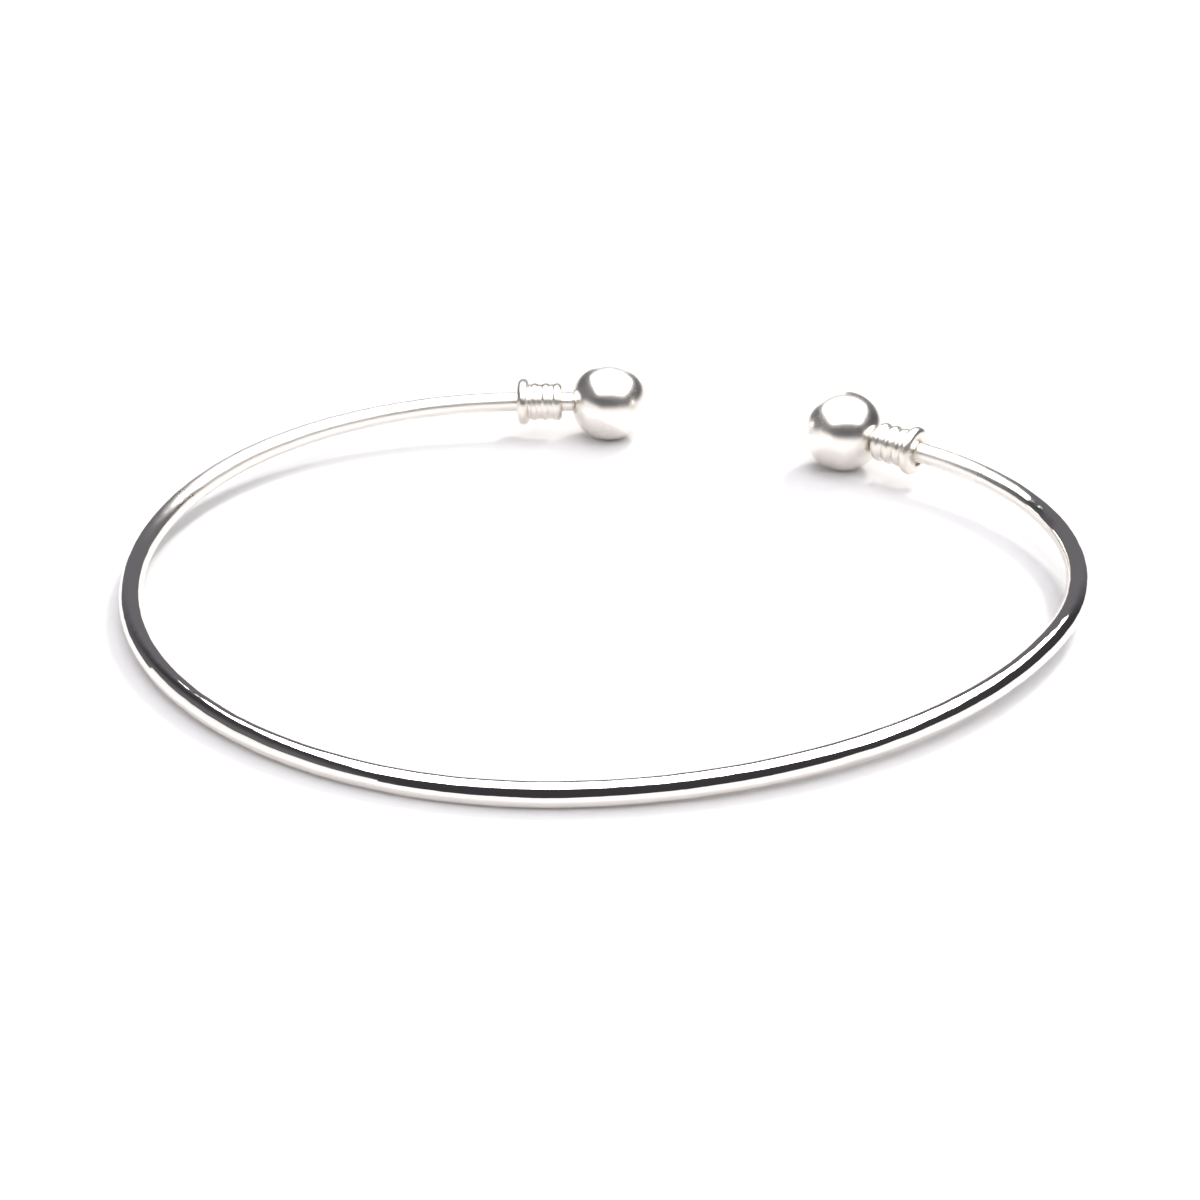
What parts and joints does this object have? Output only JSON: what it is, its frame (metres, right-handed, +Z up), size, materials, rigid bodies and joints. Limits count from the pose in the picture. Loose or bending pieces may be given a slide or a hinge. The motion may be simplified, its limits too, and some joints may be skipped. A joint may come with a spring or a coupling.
{
  "type": "open ball-end bangle",
  "caption": "Open oval bangle of polished silver wire, with a ball on each end and a short ridged collar beside each ball.",
  "frame": {"origin": "centre of the bounding box at the floor that the bangle lies on", "axes": "+Z up through the hollow, +Y from the front of the hoop towards the gap between the balls, +X along the hoop's width"},
  "size_m": [0.0637, 0.059, 0.006],
  "materials": {
    "wire_silver": "mirror-polished silver wire with slight ripples from bending",
    "collar_silver": "polished silver, a little softer between the ridges",
    "ball_silver": "mirror-polished silver"
  },
  "bodies": {
    "root": {"hoop": "wire_silver", "right_collar": "collar_silver", "left_collar": "collar_silver", "right_ball": "ball_silver", "left_ball": "ball_silver"}
  },
  "joints": []
}
